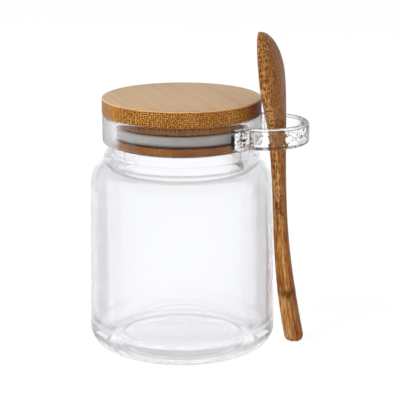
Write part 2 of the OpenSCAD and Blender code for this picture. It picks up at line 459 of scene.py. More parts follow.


# Glass: the painted dark reflection is paler on the shoulder than on the wall, and painted shade darkens the
# crease under the bead
SHOULDER_BAND = [z * MM for z in (WALL_TOP_Z - 12, WALL_TOP_Z + 5, SHOULDER_TOP_Z - 2, SHOULDER_TOP_Z + 1)]
SHOULDER_TINT = (0.93, 0.93, 0.94, 1)
SHOULDER_VEIL = 0.5
CREASE_BAND = [(SHOULDER_TOP_Z + z) * MM for z in (-0.5, 0, 0.3, 0.8)]
CREASE_TINT = (0.3, 0.3, 0.32, 1)
CREST_BAND = (0.4, 0.6, 0.75, 0.9)
MILK_SCALE = 900
MILK_RANGE = (0.42, 0.52)
MILK_TINT = (0.93, 0.92, 0.9, 1)
BLUR_RANGE = (0.25, 0.65)
WAVE_DEPTH = 0.0006
CLEAR_TINT = (0.95, 0.955, 0.965, 1)


def glass(name, look):
    """Clear glass.

    The veil is the share of light that passes straight through, which softens what the glass bends.
    The tint is its colour seen square on, and the aslant painted reflection a painted dark reflection seen
    aslant.
    The edge painted reflection is a painted dark reflection where a face's slope lies in the edge band: in
    full on upper edges, and by the share edge_below on lower ones.
    The crest is the share of painted white highlight on upper edges, which catch the light, and painted
    glints that of painted white glints in spots.
    The shoulder is one where the paler painted reflection on the shoulder and the painted shade in the crease
    show, and zero where they don't.
    The mirror is the colour of what it reflects.
    """
    material, tree = new_material(name)
    coords = add(tree, "ShaderNodeTexCoord")
    place = coords.outputs["Object"]
    height = z_node(tree, place)
    level = z_node(tree, coords.outputs["Normal"])
    slant = add(tree, "ShaderNodeLayerWeight", None, {"Blend": 0.5}).outputs["Facing"]

    shoulder = times(tree, band_node(tree, height, *SHOULDER_BAND), look["shoulder"])
    # Painted shade in the crease under the bead
    crease = times(tree, band_node(tree, height, *CREASE_BAND), look["shoulder"])
    rim_tint = mix_node(tree, shoulder, look["rim_tint"], SHOULDER_TINT)
    tint = mix_node(tree, ramp_node(tree, slant, look["rim_start"], look["rim_full"]), look["tint"], rim_tint)
    upper = band_node(tree, level, *look["edge_band"])
    lower = band_node(tree, times(tree, level, -1.0), *look["edge_band"])
    edge = math_node(tree, "MAXIMUM", upper, times(tree, lower, look["edge_below"]))
    tint = mix_node(tree, edge, tint, look["edge_tint"])
    tint = mix_node(tree, crease, tint, CREASE_TINT)
    crest = times(tree, band_node(tree, level, *CREST_BAND), look["crest"])
    # Painted glints: white spots that stand in for bright glints on the pad
    milk = ramp_node(tree, noise_node(tree, place, MILK_SCALE, 2), *MILK_RANGE, 0.0, look["milk"])
    white = math_node(tree, "MAXIMUM", crest, milk)

    waves = noise_node(tree, place, look["wave_scale"], 1)
    surface = add(tree, "ShaderNodeBsdfPrincipled", None, {
        "Base Color": mix_node(tree, white, tint, MILK_TINT),
        "Roughness": ramp_node(tree, slant, *BLUR_RANGE, 0.0, look["slant_blur"]),
        "IOR": look["ior"],
        "Transmission Weight": math_node(tree, "SUBTRACT", 1.0, white),
        "Specular Tint": look["mirror"],
        "Normal": bump_node(tree, look["wave"], WAVE_DEPTH, waves),
    })
    clear = add(tree, "ShaderNodeBsdfTransparent", None, {"Color": CLEAR_TINT})
    veil = math_node(tree, "MAXIMUM", look["veil"], times(tree, shoulder, SHOULDER_VEIL))
    soft = shader_mix(tree, veil, surface, clear)
    shadow = add(tree, "ShaderNodeLightPath").outputs["Is Shadow Ray"]
    mixed = shader_mix(tree, shadow, soft, clear)
    add(tree, "ShaderNodeOutputMaterial", None, {"Surface": mixed.outputs[0]})
    return material


# Silicone: painted shade where it faces down and painted light where it faces up
SILICONE_TONES = ((0.37, 0.362, 0.348, 1), (0.43, 0.422, 0.408, 1))
SILICONE_BELOW = (0.17, 0.13, 0.105, 1)
SILICONE_ABOVE = (0.68, 0.62, 0.55, 1)
SILICONE_BELOW_RANGE = (-0.95, 0.2, 0.8, 0.0)
SILICONE_ABOVE_RANGE = (0.1, 0.9, 0.0, 0.8)
SILICONE_CLOUD_SCALE = 180
SILICONE_GRAIN_SCALE = 2600
SILICONE_ROUGH = (0.42, 0.55)
SILICONE_BUMP = 0.2
SILICONE_DEPTH = 0.00005
SILICONE_SCATTER = 0.15
SILICONE_SCATTER_R = (0.002, 0.002, 0.002)


def silicone():
    material, tree = new_material("silicone")
    coords = add(tree, "ShaderNodeTexCoord")
    place = coords.outputs["Object"]
    level = z_node(tree, coords.outputs["Normal"])
    cloud = noise_node(tree, place, SILICONE_CLOUD_SCALE, 3)
    grain = noise_node(tree, place, SILICONE_GRAIN_SCALE, 2)
    colour = mix_node(tree, ramp_node(tree, cloud, *GRAIN_RANGE), *SILICONE_TONES)
    colour = mix_node(tree, ramp_node(tree, level, *SILICONE_BELOW_RANGE), colour, SILICONE_BELOW)
    colour = mix_node(tree, ramp_node(tree, level, *SILICONE_ABOVE_RANGE), colour, SILICONE_ABOVE)
    surface = add(tree, "ShaderNodeBsdfPrincipled", None, {
        "Base Color": colour,
        "Roughness": ramp_node(tree, grain, *GRAIN_RANGE, *SILICONE_ROUGH),
        "Normal": bump_node(tree, SILICONE_BUMP, SILICONE_DEPTH, grain),
        "Subsurface Weight": SILICONE_SCATTER,
        "Subsurface Radius": SILICONE_SCATTER_R,
    })
    add(tree, "ShaderNodeOutputMaterial", None, {"Surface": surface.outputs[0]})
    return material


# The glass piece: jar, strap and pads in one

def jar_outline():
    outside = [(0, PANEL_H), (PANEL_R - PANEL_IN, PANEL_H), (PANEL_R + PANEL_OUT, 0.0)]
    outside += arc(BODY_R - HEEL_R, HEEL_R, HEEL_R, HEEL_R, -90, 0, 24)
    outside += arc(GROOVE_R, WALL_TOP_Z, WALL_TOP_R - GROOVE_R, SHOULDER_H, 0, 75, 24)
    outside += arc(BEAD_OUTER_R - BEAD_R, SHOULDER_TOP_Z + BEAD_R, BEAD_R, BEAD_R, -70, 80, 16)
    outside += [(GROOVE_R, GROOVE_Z), (GROOVE_R, FINISH_Z)]
    outside += arc(FINISH_R - FINISH_ROUND, FINISH_Z + FINISH_ROUND, FINISH_ROUND, FINISH_ROUND, -90, 0, 8)
    outside += arc(FINISH_R - FINISH_ROUND, RIM_Z - FINISH_ROUND, FINISH_ROUND, FINISH_ROUND, 0, 90, 8)
    inside = arc(MOUTH_R + FINISH_ROUND, RIM_Z - FINISH_ROUND, FINISH_ROUND, FINISH_ROUND, 90, 180, 8)
    inside += arc(MOUTH_R + THROAT_R, THROAT_Z + THROAT_R, THROAT_R, THROAT_R, 180, 270, 8)
    shoulder_in = INNER_TOP_R - MOUTH_R - THROAT_R
    inside += arc(MOUTH_R + THROAT_R, WALL_TOP_Z, shoulder_in, THROAT_Z - WALL_TOP_Z, 90, 0, 20)
    inside += arc(INNER_R - INNER_HEEL_R, FLOOR_T + INNER_HEEL_R, INNER_HEEL_R, INNER_HEEL_R, 0, -90, 24)
    inside += [(0, FLOOR_T)]
    return soften(outside + inside, JAR_ROUND)


def round_section(half_t, half_h, radius, steps=CORNER_STEPS):
    """Rectangle with round corners about the origin, as (across, up) points."""
    points = []
    for sx, sz, start in ((1, -1, -90), (1, 1, 0), (-1, 1, 90), (-1, -1, 180)):
        x = sx * (half_t - radius)
        z = sz * (half_h - radius)
        points += arc(x, z, radius, radius, start, start + 90, steps)
    return points


def make_strap():
    end = math.acos((STRAP_ROOT_R ** 2 - LOOP_X ** 2 - LOOP_MID_R ** 2) / (2 * LOOP_X * LOOP_MID_R))
    sections = []
    for i in range(STRAP_STEPS + 1):
        angle = -end + 2 * end * i / STRAP_STEPS
        section = []
        for t, h in round_section(STRAP_T / 2, STRAP_H / 2, STRAP_ROUND):
            r = LOOP_MID_R + t
            section.append((LOOP_X + r * math.cos(angle), r * math.sin(angle), LOOP_MID_Z + h))
        sections.append(section)
    return skin("strap", sections)


def dimple_dip(along, h):
    """Depth of the lobed dimple, by the distance along the pad from its middle and the height."""
    lobes = LOBE_MEAN - LOBE_SWING * math.cos(DIMPLE_LOBES * math.atan2(h, along))
    return DIMPLE_DEPTH * lobes * math.exp(-(math.hypot(along, h) / DIMPLE_R) ** 2)


def make_pad(name, side):
    """Pad on the neck, with a face of many points for the dimple. It thins and narrows to a round end."""
    end_len = PAD_END_LEN / FINISH_R
    end_start = PAD_LAST_ANGLE - end_len
    dimple = PAD_LAST_ANGLE - DIMPLE_FROM_END / FINISH_R
    angles = [PAD_FIRST_ANGLE + (end_start - PAD_FIRST_ANGLE) * i / PAD_STEPS for i in range(PAD_STEPS)]
    for i in range(PAD_END_STEPS + 1):
        angles.append(PAD_LAST_ANGLE - end_len * math.cos(math.radians(90 * i / PAD_END_STEPS)))
    sections = []
    for angle in angles:
        x = max(0.0, (angle - end_start) / end_len)
        share = max(PAD_LEAST_SHARE, max(0.0, 1 - x ** PAD_END_POWER) ** (1 / PAD_END_POWER))
        outer_r = FINISH_R - PAD_END_SINK + (PAD_T + PAD_END_SINK) * share
        half_h = STRAP_H / 2 * (PAD_END_H + (1 - PAD_END_H) * share)
        half_t = (outer_r - PAD_ROOT_R) / 2
        corner = min(PAD_ROUND, half_t * PAD_ROUND_SHARE, half_h * PAD_ROUND_SHARE)
        outline = round_section(half_t, half_h, corner)
        flat = half_h - corner
        face = [(half_t, -flat + 2 * flat * i / PAD_FACE_STEPS) for i in range(1, PAD_FACE_STEPS)]
        outline[CORNER_STEPS + 1:CORNER_STEPS + 1] = face
        section = []
        for t, h in outline:
            on_face = t > half_t - TINY
            dip = share * dimple_dip((angle - dimple) * FINISH_R, h) if on_face else 0
            r = (outer_r + PAD_ROOT_R) / 2 + t - dip
            section.append((r * math.cos(angle), side * r * math.sin(angle), LOOP_MID_Z + h))
        sections.append(section)
    return skin(name, sections)


jar = lathe("glass_jar", jar_outline())
jar = join_solids(jar, [make_strap(), make_pad("pad_front", -1), make_pad("pad_back", 1)])
shade(jar, JAR_SHARP_ANGLE)
jar.data.materials.clear()

# Glass looks. Their aslant and edge painted reflections are dark reflections of the room painted into the
# colour
PLAIN_GLASS = {
    "tint": (0.99, 0.99, 0.995, 1),
    "rim_full": 1.0,
    "edge_band": (0.2, 0.5, 0.75, 0.97),
    "edge_below": 1.0,
    "shoulder": 0.0,
    "crest": 0.0,
    "milk": 0.0,
    "mirror": (0.4, 0.4, 0.4, 1),
}
BODY_GLASS = variant(
    PLAIN_GLASS,
    ior=1.2,
    veil=0.3,
    tint=(0.98, 0.98, 0.99, 1),
    rim_start=0.05,
    rim_tint=(0.75, 0.75, 0.78, 1),
    edge_tint=(0.93, 0.93, 0.94, 1),
    shoulder=1.0,
    slant_blur=0.08,
    wave=0.12,
    wave_scale=55,
)
NECK_GLASS = variant(
    PLAIN_GLASS,
    ior=1.36,
    veil=0.05,
    rim_start=0.72,
    rim_tint=(0.38, 0.38, 0.41, 1),
    edge_tint=(0.6, 0.6, 0.63, 1),
    slant_blur=0.5,
    wave=0.15,
    wave_scale=90,
)
STRAP_GLASS = variant(
    PLAIN_GLASS,
    ior=1.5,
    veil=0.0,
    rim_start=0.45,
    rim_full=0.85,
    rim_tint=(0.01, 0.01, 0.014, 1),
    edge_tint=(0.12, 0.115, 0.11, 1),
    edge_band=(0.1, 0.2, 0.3, 0.45),
    edge_below=0.35,
    slant_blur=0.0,
    wave=0.6,
    wave_scale=450,
    crest=0.75,
    mirror=(0.35, 0.35, 0.35, 1),
)
PAD_GLASS = variant(STRAP_GLASS, rim_start=0.55, rim_full=0.9, wave=0.3, crest=0.0, milk=0.85)
FLOOR_GLASS = variant(BODY_GLASS, ior=1.15, rim_tint=(0.9, 0.9, 0.91, 1), slant_blur=0.0)
GLASS_LOOKS = {
    "heel_glass": variant(
        BODY_GLASS,
        ior=1.15,
        veil=0.2,
        rim_start=0.1,
        rim_full=0.6,
        rim_tint=(0.2, 0.2, 0.22, 1),
        wave=0.5,
        wave_scale=500,
    ),
    "floor_glass": FLOOR_GLASS,
    "panel_glass": variant(FLOOR_GLASS, edge_tint=(0.66, 0.66, 0.68, 1), edge_band=(0.0, 0.01, 1.0, 1.01)),
    "body_glass": BODY_GLASS,
    "neck_glass": NECK_GLASS,
    "strap_glass": STRAP_GLASS,
    "pad_glass": PAD_GLASS,
    # Near black painted reflection that outlines the pad's end and edges
    "pad_edge_glass": variant(
        PAD_GLASS, rim_start=0.0, rim_full=0.1, rim_tint=(0.001, 0.001, 0.0015, 1), milk=0.0),
}
for name, look in GLASS_LOOKS.items():
    jar.data.materials.append(glass(name, look))
glass_index = {name: i for i, name in enumerate(GLASS_LOOKS)}

# Slack in millimetres for telling faces apart: off the neck, below the strap, off the pads, beside the panel
LOOP_OFF_NECK = 0.1
LOOP_BELOW = 0.2
STRAP_OFF_PAD = 0.4
PANEL_RING = 1

# How far a face is turned, as parts of its normal: to a pad's end or edge, and up or down
PAD_END_TURN = 0.88
PAD_EDGE_TURN = (0.5, 0.92)
LEAST_TURN = 0.02


def glass_part(face):
    """Name of the glass look that a face of the jar takes, by where it lies and faces."""
    x, y, z = face.center / MM
    r = math.hypot(x, y)
    if z > LOOP_TOP_Z - STRAP_H - LOOP_BELOW and r > FINISH_R + LOOP_OFF_NECK:
        angle = math.atan2(y, x)
        if r > FINISH_R + PAD_T + STRAP_OFF_PAD or abs(angle) < PAD_FIRST_ANGLE:
            return "strap_glass"
        to_end = Vector((-math.sin(abs(angle)), math.copysign(math.cos(angle), y), 0))
        at_end = face.normal.dot(to_end) > PAD_END_TURN
        at_edge = PAD_EDGE_TURN[0] < abs(face.normal.z) < PAD_EDGE_TURN[1]
        return "pad_edge_glass" if at_end or at_edge else "pad_glass"
    if z < HEEL_R and face.normal.z < -LEAST_TURN:
        if r > PANEL_R + PANEL_RING:
            return "heel_glass"
        return "panel_glass" if r > PANEL_R - PANEL_RING else "floor_glass"
    if z < HEEL_R and face.normal.z > LEAST_TURN:
        return "floor_glass"
    return "neck_glass" if z > FINISH_Z else "body_glass"


for face in jar.data.polygons:
    face.material_index = glass_index[glass_part(face)]
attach(jar, "jar")
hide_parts("jar_body", "spoon_loop")


# Lid: disc, two plug plies and the seal

FIBRE_ANGLE = math.radians(28)
FIBRE = (math.sin(FIBRE_ANGLE), -math.cos(FIBRE_ANGLE), 0)
ACROSS = (math.cos(FIBRE_ANGLE), math.sin(FIBRE_ANGLE), 0)
LID_LOOK = {
    "bundles": "2D",
    "pitch": 0.00082,
    "scatter": 0.55,
    "stretch": 0.045,
    "pale": (0.585, 0.41, 0.25, 1),
    "deep": (0.55, 0.375, 0.222, 1),
    "warm": (0.545, 0.345, 0.195, 1),
    "patchy": 0.6,
    "streak_low": 0.35,
    "streak_high": 0.68,
    "rim": (0.29, 0.165, 0.055, 1),
    "rim_share": 1.0,
    "end_light": (0.52, 0.238, 0.052, 1),
    "end_dark": (0.44, 0.18, 0.033, 1),
    "cut_low": 0.02,
    "cut_high": 0.3,
    "dot": (0.07, 0.017, 0.0015, 1),
    "dot_in": 0.25,
    "dot_out": 0.5,
    "dots_full": 0.3,
    "side_dots": 0.05,
    "end_dots": 0.95,
    "dots_axis": ACROSS,
    "dots_start": -0.038,
    "dots_end": -0.03,
    "dots_least": 0.0,
    # Painted shade and dark grain towards the lid's right end
    "skin": (0.135, 0.024, 0.003, 1),
    "skin_axis": ACROSS,
    "skin_start": 0.012,
    "skin_end": 0.036,
    "skin_share": 0.95,
    "skin_beside": 0.0,
    "skin_dots": 1.0,
    # Painted highlight along the top's rounded edge
    "arris": (0.85, 0.55, 0.28, 1),
    "arris_share": 0.75,
    "arris_below": False,
    "rough": 0.5,
    "gloss": 0.1,
}
# The plug plies are the lid's bamboo in darker, deeper colours: painted shade under the lid
PLUG_LOOK = variant(
    LID_LOOK,
    pale=(0.60, 0.26, 0.065, 1),
    deep=(0.44, 0.17, 0.03, 1),
    warm=(0.46, 0.175, 0.03, 1),
    rim=(0.36, 0.145, 0.035, 1),
    end_light=(0.42, 0.165, 0.04, 1),
    end_dark=(0.31, 0.11, 0.022, 1),
    end_dots=0.6,
    skin_share=0.3,
    # Painted shade on the chamfers, in the gaps by the seal and under the plug
    arris=(0.045, 0.012, 0.002, 1),
    arris_share=0.95,
    arris_below=True,
)
lid_bamboo = bamboo("bamboo_lid", FIBRE, ACROSS, (0, 0, 1), LID_LOOK)
plug_bamboo = bamboo("bamboo_plug", FIBRE, ACROSS, (0, 0, 1), PLUG_LOOK)

disc_outline = [(0, RIM_Z)]
disc_outline += arc(LID_R - LID_ROUND, RIM_Z + LID_ROUND, LID_ROUND, LID_ROUND, -90, 0, 6)
disc_outline += arc(LID_R - LID_ROUND, RIM_Z + PLY_T - LID_ROUND, LID_ROUND, LID_ROUND, 0, 90, 6)
disc_outline += [(0, RIM_Z + PLY_T)]
lid_disc = lathe("lid_disc", disc_outline)

groove_low = SEAM_Z - SEAL_H / 2 - SEAL_FIT
groove_high = SEAM_Z + SEAL_H / 2 + SEAL_FIT
upper_outline = [
    (0, SEAM_Z),
    (SEAL_GROOVE_R, SEAM_Z),
    (SEAL_GROOVE_R, groove_high),
    (PLUG_R - PLUG_CHAMFER, groove_high),
    (PLUG_R, groove_high + PLUG_CHAMFER),
    (PLUG_R, RIM_Z),
    (0, RIM_Z),
]
lower_outline = [
    (0, PLUG_BOTTOM_Z),
    (PLUG_R - PLUG_CHAMFER, PLUG_BOTTOM_Z),
    (PLUG_R, PLUG_BOTTOM_Z + PLUG_CHAMFER),
    (PLUG_R, groove_low - PLUG_CHAMFER),
    (PLUG_R - PLUG_CHAMFER, groove_low),
    (SEAL_GROOVE_R, groove_low),
    (SEAL_GROOVE_R, SEAM_Z),
    (0, SEAM_Z),
]
plug_upper = lathe("lid_plug_upper", soften(upper_outline, PLUG_ROUND))
plug_lower = lathe("lid_plug_lower", soften(lower_outline, PLUG_ROUND))
lid_disc.data.materials.append(lid_bamboo)
plug_upper.data.materials.append(plug_bamboo)
plug_lower.data.materials.append(plug_bamboo)
for piece, node in ((lid_disc, "lid_top"), (plug_upper, "plug_upper"), (plug_lower, "plug_lower")):
    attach(piece, "lid")
    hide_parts(node)

seal_inner_r = SEAL_GROOVE_R + SEAL_FIT
seal_half_t = (MOUTH_R - SEAL_FIT - seal_inner_r) / 2
seal_outline = []
for t, h in round_section(seal_half_t, SEAL_H / 2, SEAL_ROUND, 10):
    seal_outline.append((seal_inner_r + seal_half_t + t, SEAM_Z + h))
seal = lathe("silicone_seal", seal_outline, closed=True)
seal.data.materials.append(silicone())
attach(seal, "seal")
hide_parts("seal_ring")


# Spoon: sections by the distance s from the foot, in the spoon's own frame

def ease(a, b, start, end, s):
    """Smooth change from a at start to b at end."""
    t = max(0.0, min(1.0, (s - start) / (end - start)))
    return a + (b - a) * t * t * (3 - 2 * t)


def spoon_offset(s):
    """The bend of the middle line: towards the back at the foot, and towards the face at the tip."""
    if s < BEND_S:
        return HANDLE_KICK * (1 - s / BEND_S) ** 2
    return -TIP_CURL * ((s - BEND_S) / (SPOON_LEN - BEND_S)) ** 3


def tip_share(s):
    """Share of the bowl's section that is left, which shrinks to nothing over the round tip."""
    return math.sqrt(max(0.0, 1 - max(0.0, (s - BOWL_MID_S) / BOWL_END_LEN) ** 2))


def spoon_middle(s):
    """Middle of a section's thickness. Near the tip it moves towards the face, so the rim keeps its line."""
    return spoon_offset(s) - TIP_SET * (1 - tip_share(s))


def foot_inset(s):
    """How far the rounded foot draws in."""
    return FOOT_ROUND - math.sqrt(max(0.0, FOOT_ROUND ** 2 - max(0.0, FOOT_ROUND - s) ** 2))


def node_swell(s):
    """The ring that the culm's node leaves on the handle."""
    return NODE_SWELL * math.exp(-((s - NODE_S) / NODE_LEN) ** 2)


def half_thickness(s):
    if s < WAIST_S:
        return ease(FOOT_T, WAIST_T, FOOT_ROUND, WAIST_S, s) / 2 - foot_inset(s) + node_swell(s)
    return ease(WAIST_T, BOWL_T, WAIST_S, BOWL_MID_S, s) / 2 * tip_share(s)


def half_width(s):
    if s < WAIST_S:
        return ease(FOOT_W, WAIST_W, FOOT_ROUND, WAIST_S, s) / 2 - foot_inset(s) + node_swell(s)
    return ease(WAIST_W, BOWL_W, BOWL_START_S, BOWL_MID_S, s) / 2 * tip_share(s)


def super_ellipse(t, power):
    return max(0.0, 1 - abs(t) ** power) ** (1 / power)


def spoon_section(s, steps):
    """Round back, and a face that flattens and gets its hollow towards the bowl. The foot has notches."""
    a = half_thickness(s)
    b = half_width(s)
    offset = spoon_middle(s)
    face_power = ease(HANDLE_POWER, BOWL_POWER, BOWL_START_S, BOWL_MID_S, s)
    hollow = HOLLOW_DEPTH * ease(0, 1, BOWL_START_S, BOWL_MID_S, s) * tip_share(s)
    inner = max(TINY, b - RIM_W) / max(TINY, b)
    points = []
    for i in range(steps + 1):
        t = math.sin(math.radians(-90 + 180 * i / steps))
        dip = hollow * max(0.0, 1 - (t / inner) ** 2)
        points.append((-a * super_ellipse(t, face_power) + dip, b * t))
    for i in range(1, steps):
        t = math.sin(math.radians(90 - 180 * i / steps))
        points.append((a * super_ellipse(t, HANDLE_POWER), b * t))
    worn = NOTCH_SHARE * max(0.0, 1 - s / NOTCH_LEN)
    section = []
    for x, y in points:
        notch = 1 - worn * max(0.0, math.cos(NOTCH_COUNT * math.atan2(y, x))) ** 2
        section.append((offset + x * notch, y * notch, s))
    return section


stations = [FOOT_ROUND * (1 - math.cos(math.radians(90 * i / FOOT_STEPS))) for i in range(FOOT_STEPS + 1)]
for i in range(1, HANDLE_STEPS + 1):
    stations.append(FOOT_ROUND + (BOWL_START_S - FOOT_ROUND) * i / HANDLE_STEPS)
for i in range(1, BOWL_STEPS):
    stations.append(BOWL_START_S + BOWL_LEN * math.sin(math.radians(90 * i / BOWL_STEPS)))
spoon = skin("bamboo_spoon", [spoon_section(s, SECTION_STEPS) for s in stations], SPOON_SHARP_ANGLE)

# Where each point lies: how far from the foot, from -1 on the face to 1 on the back, and how far across
LEAST_HALF_T = 0.5
along_values = spoon.data.attributes.new("along", "FLOAT", "POINT")
side_values = spoon.data.attributes.new("side", "FLOAT", "POINT")
wide_values = spoon.data.attributes.new("wide", "FLOAT", "POINT")
for vertex in spoon.data.vertices:
    s = vertex.co.z / MM
    depth = vertex.co.x / MM - spoon_middle(s)
    along_values.data[vertex.index].value = s
    side_values.data[vertex.index].value = depth / max(LEAST_HALF_T, half_thickness(s))
    wide_values.data[vertex.index].value = vertex.co.y / MM

# The spoon's straight line, from the table past the wall and through the loop
foot_point = Vector((BODY_R + FOOT_OUT, FOOT_BACK, FOOT_ROUND / 4))
wall_pass_x = WALL_TOP_R + half_thickness(WALL_TOP_Z) + WALL_GAP
wall_share = (LOOP_MID_Z - foot_point.z) / (WALL_TOP_Z - foot_point.z)
loop_pass_x = foot_point.x + (wall_pass_x - foot_point.x) * wall_share
strap_chord = math.sqrt((LOOP_R - STRAP_T) ** 2 - (loop_pass_x - LOOP_X) ** 2)
pass_point = Vector((loop_pass_x, STRAP_GAP + half_width(LOOP_TOP_Z) - strap_chord, LOOP_MID_Z))
line = (pass_point - foot_point).normalized()
heading = math.atan2(line.y, line.x)
turn = Matrix.Rotation(heading, 4, "Z") @ Matrix.Rotation(math.acos(line.z), 4, "Y")
turn = turn @ Matrix.Rotation(-heading - math.radians(SPOON_TWIST), 4, "Z")
spoon.data.transform(Matrix.Translation(foot_point * MM) @ turn)
spoon_axes = [tuple(turn.to_3x3() @ Vector(axis)) for axis in ((0, 0, 1), (0, 1, 0), (1, 0, 0))]

# The culm's skin starts this far behind the foot's middle, and comes nearer by this share of the way along
SKIN_BEHIND = 4.9
SKIN_LEAN = 0.05
skin_axis = Vector(spoon_axes[2]) + SKIN_LEAN * Vector(spoon_axes[0])
skin_zero = (foot_point.dot(skin_axis) + SKIN_BEHIND) * MM
dots_zero = foot_point.dot(Vector(spoon_axes[0])) * MM

SPOON_LOOK = {
    "bundles": "3D",
    "pitch": 0.00085,
    "scatter": 0.65,
    "stretch": 0.3,
    "pale": (0.56, 0.295, 0.105, 1),
    "deep": (0.26, 0.092, 0.02, 1),
    "warm": (0.35, 0.14, 0.037, 1),
    "patchy": 0.5,
    "streak_low": 0.44,
    "streak_high": 0.6,
    "rim": (0.4, 0.2, 0.08, 1),
    "rim_share": 0.0,
    "end_light": (0.52, 0.28, 0.11, 1),
    "end_dark": (0.36, 0.16, 0.05, 1),
    "cut_low": 0.15,
    "cut_high": 0.6,
    "dot": (0.085, 0.027, 0.006, 1),
    "dot_in": 0.22,
    "dot_out": 0.58,
    "dots_full": 0.6,
    "side_dots": 0.9,
    "end_dots": 0.95,
    "dots_axis": spoon_axes[0],
    "dots_start": dots_zero + 0.052,
    "dots_end": dots_zero + 0.07,
    "dots_least": 0.12,
    "skin": (0.25, 0.088, 0.023, 1),
    "skin_axis": skin_axis,
    "skin_start": skin_zero - 0.0006,
    "skin_end": skin_zero + 0.0008,
    "skin_share": 0.7,
    "skin_beside": 1.0,
    "skin_dots": 0.4,
    "arris": (0.5, 0.3, 0.15, 1),
    "arris_share": 0.0,
    "arris_below": False,
    "rough": 0.46,
    "gloss": 0.08,
}

# Where the spoon's marks lie along it, in millimetres from the foot
LINES_FADE = (66, 78)
HANDLE_BAND = (24, 30, 50, 68)
FOOT_FADE = (19, 25)
BOWL_BAND = (74, 84, 124, 138)
TIP_RISE = (116, 138)
TIP_DOTS_RISE = (104, 120)
NODE_BAND = (NODE_S - 3, NODE_S - 0.5, NODE_S + 0.5, NODE_S + 3)

# Where they lie between its face, -1, and its back, 1
MIDDLE_BAND = (-0.1, 0.15, 0.5, 0.85)
FOOT_LIGHT_FADE = (0.45, 1.15)
BOWL_FADE = (0.0, 0.5)
TIP_FADE = (0.2, 0.7)
NODE_RISE = (-0.9, 0.2)

# How dense, sharp, strong and ragged they are
LINE_ACROSS = 4.0
LINE_ALONG = 0.035
LINE_SCALE = 1.5
LINE_RANGE = (0.44, 0.58)
LINES_ABOVE = 0.35
TIP_DOT_SCALE = 950
TIP_DOT_SCATTER = 0.8
TIP_DOT_RANGE = (0.2, 0.5)
TIP_DOT_SHARE = 0.8
CRACK_RANGE = (0.58, 0.66)
CRACK_SHARE = 0.7
NODE_SHARE = (0.25, 0.8)
NODE_RAGGED = 14.0

# How they colour it
LINE_TINT = (0.7, 0.58, 0.45, 1)
HANDLE_TINT = (1.22, 1.22, 1.18, 1)
HANDLE_EDGE_TINT = (0.84, 0.74, 0.6, 1)
FOOT_DARK_TINT = (0.95, 0.84, 0.72, 1)
FOOT_LIGHT_TINT = (1.28, 1.35, 1.45, 1)
BOWL_TINT = (1.3, 1.33, 1.36, 1)
TIP_TINT = (0.9, 0.86, 0.82, 1)
TIP_DOT = (0.1, 0.032, 0.009, 1)
FOOT_CRACK = (0.12, 0.035, 0.008, 1)
NODE_RING = (0.09, 0.026, 0.006, 1)


def attribute_node(tree, name):
    return add(tree, "ShaderNodeAttribute", {"attribute_name": name}).outputs["Fac"]


def spoon_marks(tree, colour, grain):
    """What only the spoon shows: fibre lines, golden handle with painted shade on its sides, streaked foot,
    dotted tip and node ring.
    """
    along = attribute_node(tree, "along")
    side = attribute_node(tree, "side")
    wide = attribute_node(tree, "wide")
    loose = math_node(tree, "SUBTRACT", grain, 0.5)
    aside = math_node(tree, "ADD", side, loose)

    fibre_place = vector_node(tree, times(tree, side, LINE_ACROSS), wide, times(tree, along, LINE_ALONG))
    lines = ramp_node(tree, noise_node(tree, fibre_place, LINE_SCALE, 3), *LINE_RANGE)
    lines = times(tree, lines, ramp_node(tree, along, *LINES_FADE, 1.0, LINES_ABOVE))
    colour = mix_node(tree, lines, colour, LINE_TINT, "MULTIPLY")

    handle = band_node(tree, along, *HANDLE_BAND)
    colour = mix_node(tree, handle, colour, HANDLE_TINT, "MULTIPLY")
    # Painted shade on the lower handle's sides, which leaves its middle golden
    beside = math_node(tree, "SUBTRACT", 1.0, band_node(tree, aside, *MIDDLE_BAND))
    colour = mix_node(tree, times(tree, handle, beside), colour, HANDLE_EDGE_TINT, "MULTIPLY")

    foot = ramp_node(tree, along, *FOOT_FADE, 1.0, 0.0)
    light = ramp_node(tree, aside, *FOOT_LIGHT_FADE, 1.0, 0.0)
    foot_tint = mix_node(tree, light, FOOT_DARK_TINT, FOOT_LIGHT_TINT)
    colour = mix_node(tree, foot, colour, foot_tint, "MULTIPLY")

    bowl = times(tree, ramp_node(tree, side, *BOWL_FADE, 1.0, 0.0), band_node(tree, along, *BOWL_BAND))
    colour = mix_node(tree, bowl, colour, BOWL_TINT, "MULTIPLY")
    tip = times(tree, ramp_node(tree, along, *TIP_RISE), ramp_node(tree, side, *TIP_FADE, 1.0, 0.0))
    colour = mix_node(tree, tip, colour, TIP_TINT, "MULTIPLY")
    point = add(tree, "ShaderNodeTexCoord").outputs["Object"]
    cells = add(tree, "ShaderNodeTexVoronoi", None,
                {"Vector": point, "Scale": TIP_DOT_SCALE, "Randomness": TIP_DOT_SCATTER})
    dots = ramp_node(tree, cells.outputs["Distance"], *TIP_DOT_RANGE, TIP_DOT_SHARE, 0.0)
    dots = times(tree, dots, ramp_node(tree, along, *TIP_DOTS_RISE))
    colour = mix_node(tree, dots, colour, TIP_DOT)

    cracks = times(tree, foot, ramp_node(tree, grain, *CRACK_RANGE))
    colour = mix_node(tree, times(tree, cracks, CRACK_SHARE), colour, FOOT_CRACK)
    ragged = math_node(tree, "ADD", along, times(tree, loose, NODE_RAGGED))
    node_side = ramp_node(tree, side, *NODE_RISE, *NODE_SHARE)
    ring = times(tree, band_node(tree, ragged, *NODE_BAND), node_side)
    return mix_node(tree, ring, colour, NODE_RING)


spoon.data.materials.append(bamboo("bamboo_spoon", *spoon_axes, SPOON_LOOK, spoon_marks))
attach(spoon, "spoon")
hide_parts("spoon")


# Floor, light and camera

